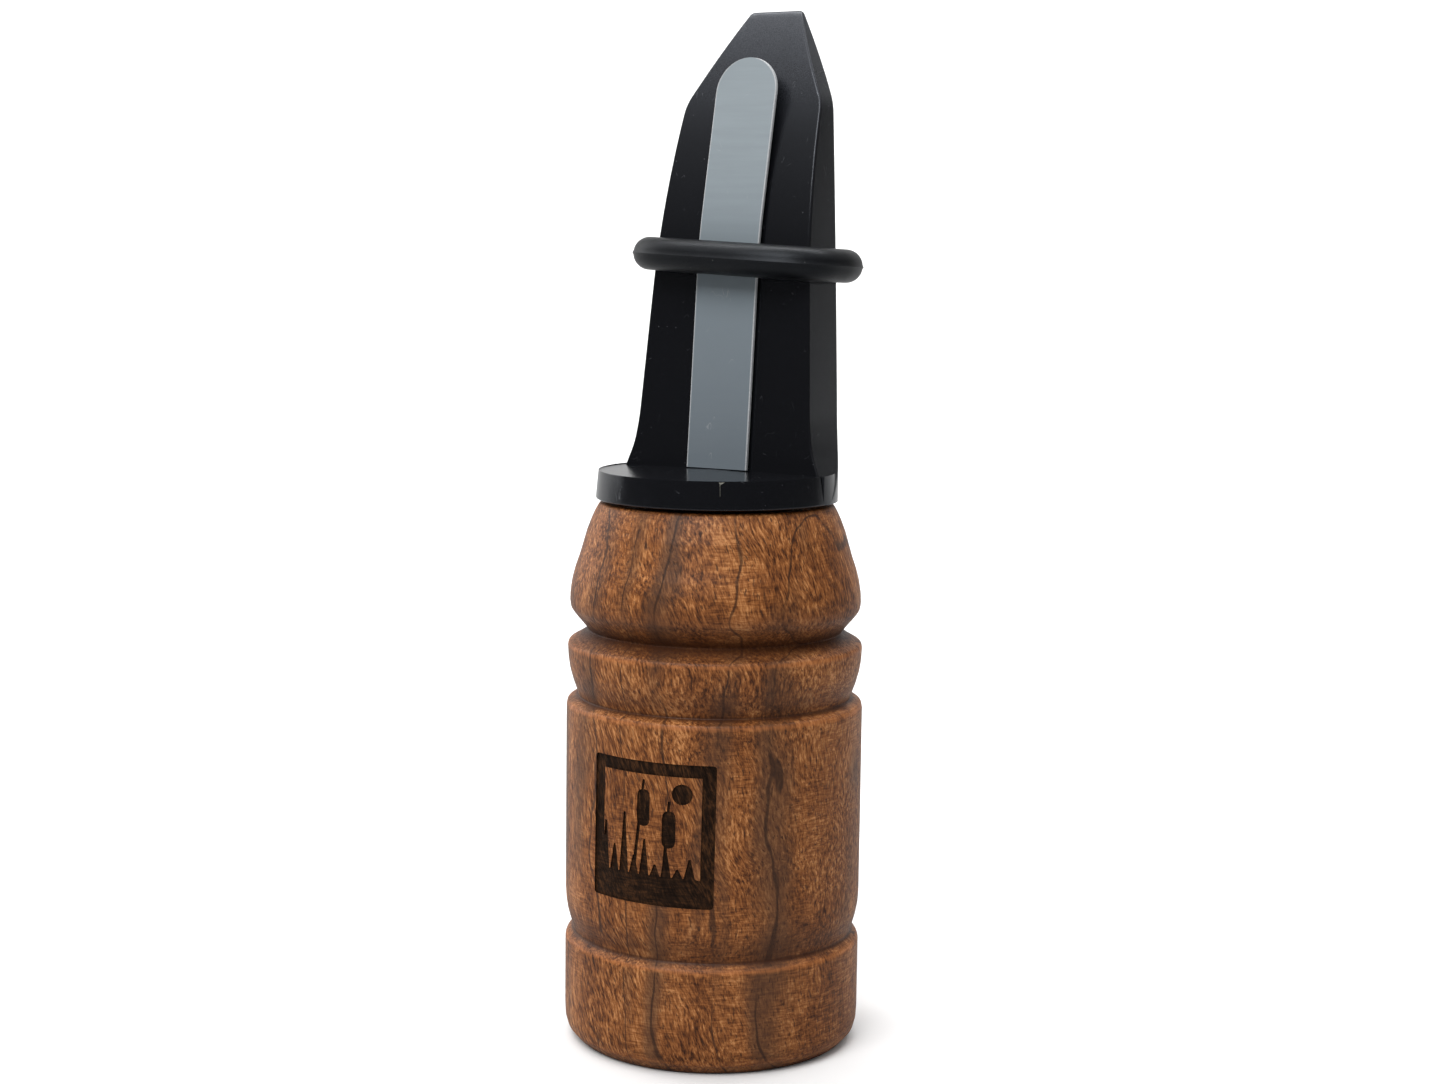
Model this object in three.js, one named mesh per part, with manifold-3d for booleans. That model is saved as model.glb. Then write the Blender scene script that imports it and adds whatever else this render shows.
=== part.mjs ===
// Open-reed game call: a turned hardwood barrel, a moulded mouthpiece that plugs into it,
// a plastic reed on the mouthpiece's flat face, and a rubber ring that clamps and tunes the reed.
// Millimetres. +Z runs up the barrel's axis from its foot, and the reed faces -Y.

import * as THREE from 'three';
import { mergeVertices } from 'three/addons/utils/BufferGeometryUtils.js';
import Module from 'manifold-3d';

const wasm = await Module();
wasm.setup();

// Barrel
const BARREL_LENGTH = 57.2;
const BARREL_RADIUS = 15.6;
const BARREL_TOP_RADIUS = 12.3;
const FOOT_RADIUS = 14.0;
const BELL_RADIUS = 10.4;
const BORE_RADIUS = 6.6;
const BELL_DEPTH = 15;
const SOCKET_RADIUS = 8.0;
const SOCKET_DEPTH = 26;

// Turned rings on the barrel: height of each groove's bottom, and its radius
const LOW_GROOVE_Z = 11.8;
const LOW_GROOVE_RADIUS = 14.65;
const MID_GROOVE_Z = 37.0;
const MID_GROOVE_RADIUS = 14.45;
const LANYARD_GROOVE_Z = 43.7;
const LANYARD_GROOVE_RADIUS = 13.45;

// Radii that shape the beads: the small bead's flank, then the domed bead from its lower lip up
const BEAD_FLANK_RADIUS = 15.1;
const DOME_LIP_RADIUS = 14.8;
const DOME_SWELL_RADIUS = 15.5;
const DOME_FLANK_RADIUS = 14.9;
const DOME_SHOULDER_RADIUS = 14.1;
const DOME_CROWN_RADIUS = 13.3;

// Mouthpiece
const FIT_GAP = 0.3;
const FLANGE_RADIUS = 12.7;
const FLANGE_DRAFT = 0.3;
const FLANGE_THICKNESS = 3.1;
const BOARD_LENGTH = 51.4;
const BACK_RADIUS = 12.3;
const TIP_HALF_WIDTH = 3.0;
const SHOULDER_Z = 41.5;
const SHOULDER_HALF_WIDTH = 8.2;
const WAIST_Z = 8.2;
const WAIST_HALF_WIDTH = 10.3;
const FOOT_HALF_WIDTH = 11.5;
const FACE_SET_BACK = 0.15;
const FACE_LEAN = Math.tan(THREE.MathUtils.degToRad(4.8));
const FACE_FLAT_END = 22;
const TIP_SET_BACK = 11.3;

// Tenon that plugs into the barrel, with its bore and its two seals
const TENON_RADIUS = 7.7;
const TENON_LENGTH = 24;
const TENON_BORE_RADIUS = 4.4;
const TENON_CHAMFER = 0.8;
const SEAL_SECTION_RADIUS = 0.8;
const SEAL_RING_RADIUS = 7.1;
const SEAL_DEPTHS = { tenon_seal_upper: 5.5, tenon_seal_lower: 18 };
const LEDGE_SKIN = 1.4;
const CHANNEL_WIDTH = 4.4;
const CHANNEL_DEPTH = 4.2;
const CHANNEL_TOP_Z = 36;

// Reed and tuning ring
const REED_WIDTH = 7.2;
const REED_THICKNESS = 0.4;
const REED_TIP_Z = 46.2;
const REED_LIFT = Math.tan(THREE.MathUtils.degToRad(12));
const BAND_Z = 25.2;
const BAND_HEIGHT = 3.5;
const BAND_THICKNESS = 2.1;

const ROUND_SEGMENTS = 48;
const FULL_TURN = 2 * Math.PI;

// Heights on the mouthpiece are measured from the barrel's top.
const SEAT_Z = BARREL_LENGTH + FIT_GAP;
const LEDGE_Z = SEAT_Z + FLANGE_THICKNESS;
const TIP_Z = BARREL_LENGTH + BOARD_LENGTH;

const MATERIALS = {
  wood: { color: 0xb9773d, roughness: 0.45, metalness: 0 },
  moulding: { color: 0x17171a, roughness: 0.25, metalness: 0 },
  reed: { color: 0x9aa5ad, roughness: 0.4, metalness: 0 },
  rubber: { color: 0x2c2d30, roughness: 0.7, metalness: 0 },
};

// ---- Solids ----

function cleaned(geometry) {
  geometry.deleteAttribute('normal');
  geometry.deleteAttribute('uv');
  return mergeVertices(geometry, 1e-4);
}

function solid(geometry) {
  const merged = cleaned(geometry);
  return new wasm.Manifold(new wasm.Mesh({
    numProp: 3,
    vertProperties: new Float32Array(merged.attributes.position.array),
    triVerts: new Uint32Array(merged.index.array),
  }));
}

function geometryOf(manifold) {
  const mesh = manifold.getMesh();
  const geometry = new THREE.BufferGeometry();
  geometry.setAttribute('position', new THREE.BufferAttribute(mesh.vertProperties, 3));
  geometry.setIndex(new THREE.BufferAttribute(mesh.triVerts, 1));
  return geometry;
}

// A closed outline of (radius, height) points, turned about Z. The outline runs anticlockwise.
function turned(outline) {
  return new THREE.LatheGeometry(outline, ROUND_SEGMENTS).rotateX(Math.PI / 2);
}

function cylinder(lowRadius, highRadius, lowZ, highZ) {
  const geometry = new THREE.CylinderGeometry(highRadius, lowRadius, highZ - lowZ, ROUND_SEGMENTS);
  return geometry.rotateX(Math.PI / 2).translate(0, 0, (lowZ + highZ) / 2);
}

// An outline drawn as (y, z), as seen from +X, given a width along X and centred on X = 0.
function sideProfile(shape, width) {
  const geometry = new THREE.ExtrudeGeometry(
    shape, { depth: width, bevelEnabled: false, curveSegments: 12 });
  const axes = new THREE.Matrix4().makeBasis(
    new THREE.Vector3(0, 1, 0), new THREE.Vector3(0, 0, 1), new THREE.Vector3(1, 0, 0));
  return geometry.applyMatrix4(axes).translate(-width / 2, 0, 0);
}

// An outline drawn as (x, z), as seen from the front, given a depth that ends at Y = highY.
function frontProfile(shape, depth, highY) {
  const geometry = new THREE.ExtrudeGeometry(shape, { depth, bevelEnabled: false, curveSegments: 10 });
  return geometry.rotateX(Math.PI / 2).translate(0, highY, 0);
}

// ---- Barrel ----

function barrelOutline() {
  const wall = new THREE.Path();
  wall.moveTo(BELL_RADIUS, 0);
  wall.lineTo(FOOT_RADIUS, 0);
  wall.quadraticCurveTo(BARREL_RADIUS - 0.2, 0.3, BARREL_RADIUS, 2.4);

  // foot band and the cove above it
  wall.lineTo(BARREL_RADIUS, LOW_GROOVE_Z - 1.4);
  wall.lineTo(LOW_GROOVE_RADIUS, LOW_GROOVE_Z);
  wall.quadraticCurveTo(BARREL_RADIUS - 0.1, LOW_GROOVE_Z + 1.8, BARREL_RADIUS, LOW_GROOVE_Z + 4);

  // long band, with an eased top corner
  wall.lineTo(BARREL_RADIUS, MID_GROOVE_Z - 1.9);
  wall.lineTo(BARREL_RADIUS - 0.25, MID_GROOVE_Z - 1.1);
  wall.lineTo(MID_GROOVE_RADIUS, MID_GROOVE_Z);

  // small bead between the grooves
  wall.quadraticCurveTo(BEAD_FLANK_RADIUS, MID_GROOVE_Z + 1.4, BARREL_RADIUS - 0.1, MID_GROOVE_Z + 3);
  wall.lineTo(BARREL_RADIUS - 0.12, LANYARD_GROOVE_Z - 2.1);
  wall.lineTo(LANYARD_GROOVE_RADIUS, LANYARD_GROOVE_Z);

  // domed top bead
  wall.lineTo(DOME_LIP_RADIUS, LANYARD_GROOVE_Z + 1.5);
  wall.quadraticCurveTo(
    DOME_SWELL_RADIUS, LANYARD_GROOVE_Z + 2.6, BARREL_RADIUS - 0.3, LANYARD_GROOVE_Z + 4.2);
  wall.quadraticCurveTo(
    DOME_FLANK_RADIUS, LANYARD_GROOVE_Z + 6, DOME_SHOULDER_RADIUS, LANYARD_GROOVE_Z + 8.6);
  wall.quadraticCurveTo(DOME_CROWN_RADIUS, BARREL_LENGTH - 2, BARREL_TOP_RADIUS, BARREL_LENGTH);

  // socket for the tenon, sound bore and bell
  const socketFloor = BARREL_LENGTH - SOCKET_DEPTH;
  wall.lineTo(SOCKET_RADIUS, BARREL_LENGTH);
  wall.lineTo(SOCKET_RADIUS, socketFloor);
  wall.lineTo(BORE_RADIUS, socketFloor - 1);
  wall.lineTo(BORE_RADIUS, BELL_DEPTH);
  wall.quadraticCurveTo(BORE_RADIUS + 0.4, BELL_DEPTH / 2.5, BELL_RADIUS, 0);
  return wall.getPoints(5);
}

// ---- Mouthpiece ----

// Distance of the board's flat face behind the barrel's axis, below the bend.
function flatFaceY(height) {
  return FACE_SET_BACK + FACE_LEAN * height;
}

// Side view of the board: a leaning flat that curves back to the tip.
function boardSide() {
  const back = FLANGE_RADIUS + 1;
  const bendZ = BARREL_LENGTH + FACE_FLAT_END;
  const side = new THREE.Shape();
  side.moveTo(flatFaceY(0), BARREL_LENGTH);
  side.lineTo(back, BARREL_LENGTH);
  side.lineTo(back, TIP_Z);
  side.lineTo(TIP_SET_BACK, TIP_Z);
  side.bezierCurveTo(
    TIP_SET_BACK - 4.9, TIP_Z - 7.7,
    flatFaceY(FACE_FLAT_END + 10), bendZ + 10,
    flatFaceY(FACE_FLAT_END), bendZ);
  side.closePath();
  return side;
}

// Front view of the board: flared foot, slow taper, then a quick taper from the shoulder to the tip.
function boardFront() {
  const front = new THREE.Shape();
  const shoulder = BARREL_LENGTH + SHOULDER_Z;
  const waist = BARREL_LENGTH + WAIST_Z;
  front.moveTo(-FOOT_HALF_WIDTH, SEAT_Z + 1);
  front.lineTo(FOOT_HALF_WIDTH, SEAT_Z + 1);
  front.lineTo(FOOT_HALF_WIDTH, LEDGE_Z);
  front.quadraticCurveTo(WAIST_HALF_WIDTH + 0.1, waist - 2, WAIST_HALF_WIDTH, waist);
  front.lineTo(SHOULDER_HALF_WIDTH, shoulder);
  front.lineTo(TIP_HALF_WIDTH, TIP_Z);
  front.lineTo(-TIP_HALF_WIDTH, TIP_Z);
  front.lineTo(-SHOULDER_HALF_WIDTH, shoulder);
  front.lineTo(-WAIST_HALF_WIDTH, waist);
  front.quadraticCurveTo(-WAIST_HALF_WIDTH - 0.1, waist - 2, -FOOT_HALF_WIDTH, LEDGE_Z);
  front.closePath();
  return front;
}

// Side view of the air channel: it leaves the tenon's bore behind the ledge, and is open at the front
// above it, where the reed covers it, until it ramps out.
function channelSide() {
  const lowZ = LEDGE_Z - LEDGE_SKIN - 0.2;
  const openZ = LEDGE_Z + FIT_GAP;
  const topZ = BARREL_LENGTH + CHANNEL_TOP_Z;
  const channel = new THREE.Shape();
  channel.moveTo(flatFaceY(0), lowZ);
  channel.lineTo(flatFaceY(0) + CHANNEL_DEPTH, lowZ);
  channel.lineTo(flatFaceY(FACE_FLAT_END) + CHANNEL_DEPTH, BARREL_LENGTH + FACE_FLAT_END);
  channel.lineTo(flatFaceY(CHANNEL_TOP_Z), topZ);
  channel.lineTo(-CHANNEL_WIDTH, topZ);
  channel.lineTo(-CHANNEL_WIDTH, openZ);
  channel.lineTo(flatFaceY(0), openZ);
  channel.closePath();
  return channel;
}

function sealGroove(depth) {
  const halfHeight = SEAL_SECTION_RADIUS + FIT_GAP;
  const floor = SEAL_RING_RADIUS - SEAL_SECTION_RADIUS - FIT_GAP;
  const z = SEAT_Z - depth;
  const ring = [
    [floor, z - halfHeight], [TENON_RADIUS + 1, z - halfHeight],
    [TENON_RADIUS + 1, z + halfHeight], [floor, z + halfHeight], [floor, z - halfHeight],
  ];
  return turned(ring.map(([r, h]) => new THREE.Vector2(r, h)));
}

function tenonAndFlange() {
  const tenonEnd = SEAT_Z - TENON_LENGTH;
  const outline = [
    [0, tenonEnd], [TENON_RADIUS - TENON_CHAMFER, tenonEnd], [TENON_RADIUS, tenonEnd + TENON_CHAMFER],
    [TENON_RADIUS, SEAT_Z], [FLANGE_RADIUS, SEAT_Z], [FLANGE_RADIUS - FLANGE_DRAFT, LEDGE_Z], [0, LEDGE_Z],
  ];
  return turned(outline.map(([r, h]) => new THREE.Vector2(r, h)));
}

function mouthpieceGeometry() {
  const back = cylinder(FLANGE_RADIUS, BACK_RADIUS, SEAT_Z, TIP_Z);
  const board = solid(back)
    .intersect(solid(sideProfile(boardSide(), 4 * FLANGE_RADIUS)))
    .intersect(solid(frontProfile(boardFront(), 4 * FLANGE_RADIUS, 2 * FLANGE_RADIUS)));
  const boreEnd = SEAT_Z - TENON_LENGTH - 1;
  const bore = cylinder(TENON_BORE_RADIUS, TENON_BORE_RADIUS, boreEnd, LEDGE_Z - LEDGE_SKIN);
  let body = solid(tenonAndFlange())
    .add(board)
    .subtract(solid(bore))
    .subtract(solid(sideProfile(channelSide(), CHANNEL_WIDTH)));
  for (const depth of Object.values(SEAL_DEPTHS)) {
    body = body.subtract(solid(sealGroove(depth)));
  }
  return geometryOf(body);
}

// ---- Reed ----

// Straight lower part of the reed, lying along the flat face up to the ring.
function reedTailGeometry() {
  const lowZ = FLANGE_THICKNESS + 2 * FIT_GAP;
  const highZ = BAND_Z - FIT_GAP / 2;
  const shape = new THREE.Shape();
  const backY = (height) => flatFaceY(height) - FIT_GAP;
  shape.moveTo(backY(lowZ) - REED_THICKNESS, BARREL_LENGTH + lowZ);
  shape.lineTo(backY(lowZ), BARREL_LENGTH + lowZ);
  shape.lineTo(backY(highZ), BARREL_LENGTH + highZ);
  shape.lineTo(backY(highZ) - REED_THICKNESS, BARREL_LENGTH + highZ);
  shape.closePath();
  return cleaned(sideProfile(shape, REED_WIDTH));
}

// Free upper part of the reed: it lifts off the curved face and ends in a half-round tip.
function reedTongueGeometry() {
  const half = REED_WIDTH / 2;
  const lowZ = BAND_Z + FIT_GAP / 2;
  const lean = Math.atan(REED_LIFT);
  const length = (REED_TIP_Z - lowZ) / Math.cos(lean);
  const shape = new THREE.Shape();
  shape.moveTo(-half, 0);
  shape.lineTo(half, 0);
  shape.lineTo(half, length - half);
  shape.absarc(0, length - half, half, 0, Math.PI, false);
  shape.closePath();
  const geometry = new THREE.ExtrudeGeometry(
    shape, { depth: REED_THICKNESS, bevelEnabled: false, curveSegments: 12 });
  geometry.rotateX(Math.PI / 2 - lean);
  geometry.translate(0, flatFaceY(BAND_Z) - FIT_GAP, BARREL_LENGTH + lowZ);
  return cleaned(geometry);
}

// ---- Tuning ring ----

// Outline of the board's section at the ring, moved outwards by a distance, corners rounded.
function boardSectionOutline(offset) {
  const taper = (BAND_Z - WAIST_Z) / (SHOULDER_Z - WAIST_Z);
  const halfWidth = THREE.MathUtils.lerp(WAIST_HALF_WIDTH, SHOULDER_HALF_WIDTH, taper);
  const backRadius = THREE.MathUtils.lerp(FLANGE_RADIUS, BACK_RADIUS, BAND_Z / BOARD_LENGTH);
  const reedFrontY = flatFaceY(BAND_Z) - FIT_GAP - REED_THICKNESS;
  const cornerY = Math.sqrt(backRadius ** 2 - halfWidth ** 2);
  const cornerAngle = Math.atan2(cornerY, halfWidth);
  const outline = new THREE.Shape();
  outline.absarc(halfWidth, reedFrontY, offset, -Math.PI / 2, 0, false);
  outline.absarc(halfWidth, cornerY, offset, 0, cornerAngle, false);
  outline.absarc(0, 0, backRadius + offset, cornerAngle, Math.PI - cornerAngle, false);
  outline.absarc(-halfWidth, cornerY, offset, Math.PI - cornerAngle, Math.PI, false);
  outline.absarc(-halfWidth, reedFrontY, offset, Math.PI, 1.5 * Math.PI, false);
  outline.closePath();
  return outline;
}

function tuningBandGeometry() {
  const round = BAND_THICKNESS / 2 - 0.15;
  const ring = boardSectionOutline(FIT_GAP + BAND_THICKNESS - round);
  ring.holes.push(boardSectionOutline(FIT_GAP + round));
  const depth = BAND_HEIGHT - 2 * round;
  const geometry = new THREE.ExtrudeGeometry(ring, {
    depth, bevelEnabled: true, bevelSize: round, bevelThickness: round, bevelSegments: 3, curveSegments: 5,
  });
  return cleaned(geometry.translate(0, 0, BARREL_LENGTH + BAND_Z - depth / 2));
}

// ---- Tenon seals ----

function sealGeometry(depth) {
  const ring = new THREE.TorusGeometry(SEAL_RING_RADIUS, SEAL_SECTION_RADIUS, 10, ROUND_SEGMENTS, FULL_TURN);
  return cleaned(ring.translate(0, 0, SEAT_Z - depth));
}

// ---- Assembly ----

function part(name, geometry, material) {
  const mesh = new THREE.Mesh(geometry, new THREE.MeshStandardMaterial(MATERIALS[material]));
  mesh.name = name;
  return mesh;
}

const call = new THREE.Group();
call.add(part('barrel', cleaned(turned(barrelOutline())), 'wood'));
call.add(part('mouthpiece', mouthpieceGeometry(), 'moulding'));
call.add(part('reed_tail', reedTailGeometry(), 'reed'));
call.add(part('reed_tongue', reedTongueGeometry(), 'reed'));
call.add(part('tuning_band', tuningBandGeometry(), 'rubber'));
for (const [name, depth] of Object.entries(SEAL_DEPTHS)) {
  call.add(part(name, sealGeometry(depth), 'rubber'));
}

export default call;
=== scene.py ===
# %% [markdown]
# # An open-reed game call
#
# This kind of call has a turned hardwood barrel that the hand holds, a black moulded mouthpiece
# pressed into the top of it, a flat plastic reed lying on the mouthpiece's face, and a rubber ring that
# clamps the reed and slides to tune it. The CAD model already has the sizes, the joints and the bodies.
# This lesson builds the finished looks of the same pieces round it, in metres, at the same places.

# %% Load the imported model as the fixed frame
import math

import bpy
from mathutils import Matrix, Vector


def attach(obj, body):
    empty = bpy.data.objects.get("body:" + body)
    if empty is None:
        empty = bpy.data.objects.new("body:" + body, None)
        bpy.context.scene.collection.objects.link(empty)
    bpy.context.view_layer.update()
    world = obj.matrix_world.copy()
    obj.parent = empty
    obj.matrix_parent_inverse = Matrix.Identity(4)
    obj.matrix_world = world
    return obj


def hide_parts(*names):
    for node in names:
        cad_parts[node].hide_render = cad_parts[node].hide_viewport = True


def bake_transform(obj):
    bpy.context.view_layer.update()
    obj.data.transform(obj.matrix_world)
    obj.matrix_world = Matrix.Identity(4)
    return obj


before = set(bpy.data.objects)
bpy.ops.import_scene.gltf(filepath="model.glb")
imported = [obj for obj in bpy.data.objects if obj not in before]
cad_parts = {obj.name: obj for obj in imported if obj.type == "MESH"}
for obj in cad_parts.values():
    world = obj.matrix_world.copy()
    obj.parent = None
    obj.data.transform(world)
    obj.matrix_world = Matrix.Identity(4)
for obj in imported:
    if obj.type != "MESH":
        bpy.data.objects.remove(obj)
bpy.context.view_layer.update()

MM = 0.001

# %% [markdown]
# ## The studio
#
# A long lens stands a quarter of a metre away, turned 30 degrees to the right of the reed and a little
# above it, so the upright edges stay nearly parallel. It leans less than a degree, as a hand-held camera
# does. The lens and the distance go together: both decide how round the barrel's rings look.

# %% Camera
CAMERA_AZIMUTH = math.radians(30)
CAMERA_PITCH = math.radians(6.99)
CAMERA_ROLL = math.radians(0.71)
CAMERA_DISTANCE = 249.6 * MM
CAMERA_HEIGHT = 83.5 * MM
CAMERA_SIDESTEP = 0.65 * MM

bpy.ops.object.camera_add()
camera = bpy.context.object
camera.name = "studio_camera"
camera.data.sensor_width = 36
camera.data.lens = 59.6
camera.matrix_world = (
    Matrix.Rotation(CAMERA_AZIMUTH, 4, "Z")
    @ Matrix.Translation((CAMERA_SIDESTEP, -CAMERA_DISTANCE, CAMERA_HEIGHT))
    @ Matrix.Rotation(math.pi / 2 - CAMERA_PITCH, 4, "X")
    @ Matrix.Rotation(CAMERA_ROLL, 4, "Z")
)
bpy.context.scene.camera = camera
bpy.context.scene.view_settings.view_transform = "Standard"
print("camera at", [round(value, 4) for value in camera.matrix_world.translation])

# %% [markdown]
# Every material in this lesson is a node tree, and most of the lines that build one would only add a
# node and join its sockets. The first helper does both: an input is given either a plain value or the
# output of a node that was made before it. The others are short names for the nodes that come up often.

# %% Helpers for node trees
def place(tree, kind, inputs=None, **settings):
    made = tree.nodes.new("ShaderNode" + kind)
    for name, value in settings.items():
        setattr(made, name, value)
    for name, value in (inputs or {}).items():
        if isinstance(value, bpy.types.NodeSocket):
            tree.links.new(value, made.inputs[name])
        else:
            made.inputs[name].default_value = value
    return made


def math_node(tree, operation, first, second=0.0, clamp=False):
    return place(tree, "Math", {0: first, 1: second}, operation=operation, use_clamp=clamp).outputs[0]


def scaled(tree, value, factor):
    return math_node(tree, "MULTIPLY", value, factor)


def centred(tree, value):
    """Moves a 0 to 1 value to lie round 0."""
    return math_node(tree, "SUBTRACT", value, 0.5)


def between(tree, value, low, high):
    """A smooth step from 0 at low to 1 at high."""
    ends = {"Value": value, "From Min": low, "From Max": high}
    return place(tree, "MapRange", ends, interpolation_type="SMOOTHSTEP").outputs["Result"]


def spread(tree, value, low, high):
    """Stretches a 0 to 1 value to run from low to high."""
    return place(tree, "MapRange", {"Value": value, "To Min": low, "To Max": high}).outputs["Result"]


def noise(tree, vector, scale, detail=2.0, roughness=0.5, distortion=0.0):
    """Noise on coordinates in millimetres, with its own stretch for each axis."""
    stretched = place(tree, "Mapping", {"Vector": vector, "Scale": scale}).outputs["Vector"]
    inputs = {"Vector": stretched, "Scale": 1.0, "Detail": detail, "Roughness": roughness}
    return place(tree, "TexNoise", {**inputs, "Distortion": distortion}).outputs["Fac"]


def place_in_metres(tree):
    return place(tree, "TexCoord").outputs["Object"]


def place_in_millimetres(tree):
    scale = {"Vector": place_in_metres(tree), "Scale": (1000, 1000, 1000)}
    return place(tree, "Mapping", scale).outputs["Vector"]


def height_of(tree, position):
    return place(tree, "SeparateXYZ", {0: position}).outputs["Z"]


def ramp(tree, value, stops):
    made = place(tree, "ValToRGB", {"Fac": value})
    elements = made.color_ramp.elements
    while len(elements) < len(stops):
        elements.new(0.5)
    for element, (position, color) in zip(elements, stops):
        element.position = position
        element.color = (*color, 1) if isinstance(color, tuple) else (color, color, color, 1)
    return made.outputs["Color"]


def mix(tree, amount, first, second):
    made = place(tree, "Mix", {"Factor": amount}, data_type="RGBA")
    for socket, value in ((made.inputs[6], first), (made.inputs[7], second)):
        if isinstance(value, bpy.types.NodeSocket):
            tree.links.new(value, socket)
        else:
            socket.default_value = (*value, 1)
    return made.outputs[2]


def new_material(name):
    material = bpy.data.materials.new(name)
    material.use_nodes = True
    return material, material.node_tree, material.node_tree.nodes["Principled BSDF"]


def dress(tree, shader, color, roughness, bump_height, bump_strength, bump_distance):
    """Joins a finish's colour, roughness and relief to its shader."""
    relief = {"Height": bump_height, "Strength": bump_strength, "Distance": bump_distance}
    tree.links.new(color, shader.inputs["Base Color"])
    tree.links.new(roughness, shader.inputs["Roughness"])
    tree.links.new(place(tree, "Bump", relief).outputs["Normal"], shader.inputs["Normal"])


def new_group(name, inputs, outputs):
    """An empty node group with named sockets, and its two end nodes."""
    tree = bpy.data.node_groups.new(name, "ShaderNodeTree")
    for socket_name, (kind, value) in inputs.items():
        socket = tree.interface.new_socket(socket_name, in_out="INPUT", socket_type="NodeSocket" + kind)
        socket.default_value = value
    for socket_name, kind in outputs.items():
        tree.interface.new_socket(socket_name, in_out="OUTPUT", socket_type="NodeSocket" + kind)
    return tree, tree.nodes.new("NodeGroupInput").outputs, tree.nodes.new("NodeGroupOutput").inputs


def use_group(tree, group, inputs):
    made = tree.nodes.new("ShaderNodeGroup")
    made.node_tree = group
    for name, value in inputs.items():
        if isinstance(value, bpy.types.NodeSocket):
            tree.links.new(value, made.inputs[name])
        else:
            made.inputs[name].default_value = value
    return made.outputs


# %% [markdown]
# The floor is a pale sheet that curves up behind the object, so no line shows where it ends. It is
# brighter behind the call than in front of it. A glossy black moulding has hardly any colour of its own:
# it shows what stands round it, so this bright wall draws its edges and the dim room in front keeps its
# face black.

# %% Floor and backdrop
SWEEP_WIDTH = 2.2
SWEEP_FRONT = 0.45
SWEEP_BACK = 0.7
SWEEP_HEIGHT = 1.3
SWEEP_BEND = 0.35


def deselect_all():
    if bpy.context.object and bpy.context.object.mode != "OBJECT":
        bpy.ops.object.mode_set(mode="OBJECT")
    bpy.ops.object.select_all(action="DESELECT")


deselect_all()
bpy.ops.mesh.primitive_plane_add(size=1)
sweep = bpy.context.object
sweep.name = "studio_floor"
sweep_corners = [(-1, -SWEEP_FRONT), (1, -SWEEP_FRONT), (-1, SWEEP_BACK), (1, SWEEP_BACK)]
for vertex, (side, depth) in zip(sweep.data.vertices, sweep_corners):
    vertex.co = (side * SWEEP_WIDTH / 2, depth, 0)
bpy.ops.object.mode_set(mode="EDIT")
bpy.ops.mesh.select_mode(type="EDGE")
bpy.ops.mesh.select_all(action="DESELECT")
bpy.ops.object.mode_set(mode="OBJECT")
for edge in sweep.data.edges:
    edge.select = all(sweep.data.vertices[index].co.y > 0 for index in edge.vertices)
bpy.ops.object.mode_set(mode="EDIT")
bpy.ops.mesh.extrude_region_move(TRANSFORM_OT_translate={"value": (0, 0, SWEEP_HEIGHT)})
bpy.ops.object.mode_set(mode="OBJECT")
for edge in sweep.data.edges:
    ends = [sweep.data.vertices[index].co for index in edge.vertices]
    edge.select = all(end.y > 0 and end.z < SWEEP_BEND for end in ends)
bpy.ops.object.mode_set(mode="EDIT")
bpy.ops.mesh.bevel(offset=SWEEP_BEND, segments=24, profile=0.5)
bpy.ops.mesh.select_all(action="SELECT")
bpy.ops.mesh.normals_make_consistent(inside=False)
bpy.ops.object.mode_set(mode="OBJECT")
bpy.ops.object.shade_smooth()
sweep.data.transform(Matrix.Rotation(CAMERA_AZIMUTH, 4, "Z"))

floor_material, floor_tree, floor_shader = new_material("pale_paper")
paper_seen = place(floor_tree, "LightPath").outputs["Is Camera Ray"]
paper_color = mix(floor_tree, paper_seen, (0.42, 0.42, 0.42), (0.88, 0.88, 0.88))
floor_tree.links.new(paper_color, floor_shader.inputs["Base Color"])
floor_shader.inputs["Roughness"].default_value = 0.9
floor_shader.inputs["Specular IOR Level"].default_value = 0.1
sweep.data.materials.append(floor_material)
print("floor and backdrop:", len(sweep.data.polygons), "faces")

# %% [markdown]
# Most of the light is soft and comes from above: the room is dim at eye level and brightens towards the
# ceiling. A large key light hangs in front, a weaker one stands on the left, and one whitens the backdrop.
# The key is kept to the right of the place that the mouthpiece's face mirrors, so it never shows as a
# patch in the black plastic. The camera sees plain white past the paper's edge.

# %% Lights
def soft_light(name, place_at, aim_at, size, power):
    bpy.ops.object.light_add(type="AREA", location=place_at)
    light = bpy.context.object
    light.name = name
    light.data.shape = "RECTANGLE"
    light.data.size, light.data.size_y = size
    light.data.energy = power
    light.rotation_euler = (Vector(aim_at) - Vector(place_at)).to_track_quat("-Z", "Y").to_euler()


CALL_MIDDLE = (0, 0, 0.055)
soft_light("key_light", (0.03, -0.62, 0.70), CALL_MIDDLE, (0.50, 0.50), 5.0)
soft_light("left_light", (-0.75, 0.00, 0.35), CALL_MIDDLE, (0.50, 0.60), 1.8)
soft_light("backdrop_light", (-0.10, 0.16, 0.70), (-0.34, 0.60, 0.15), (0.80, 0.20), 6)

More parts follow.
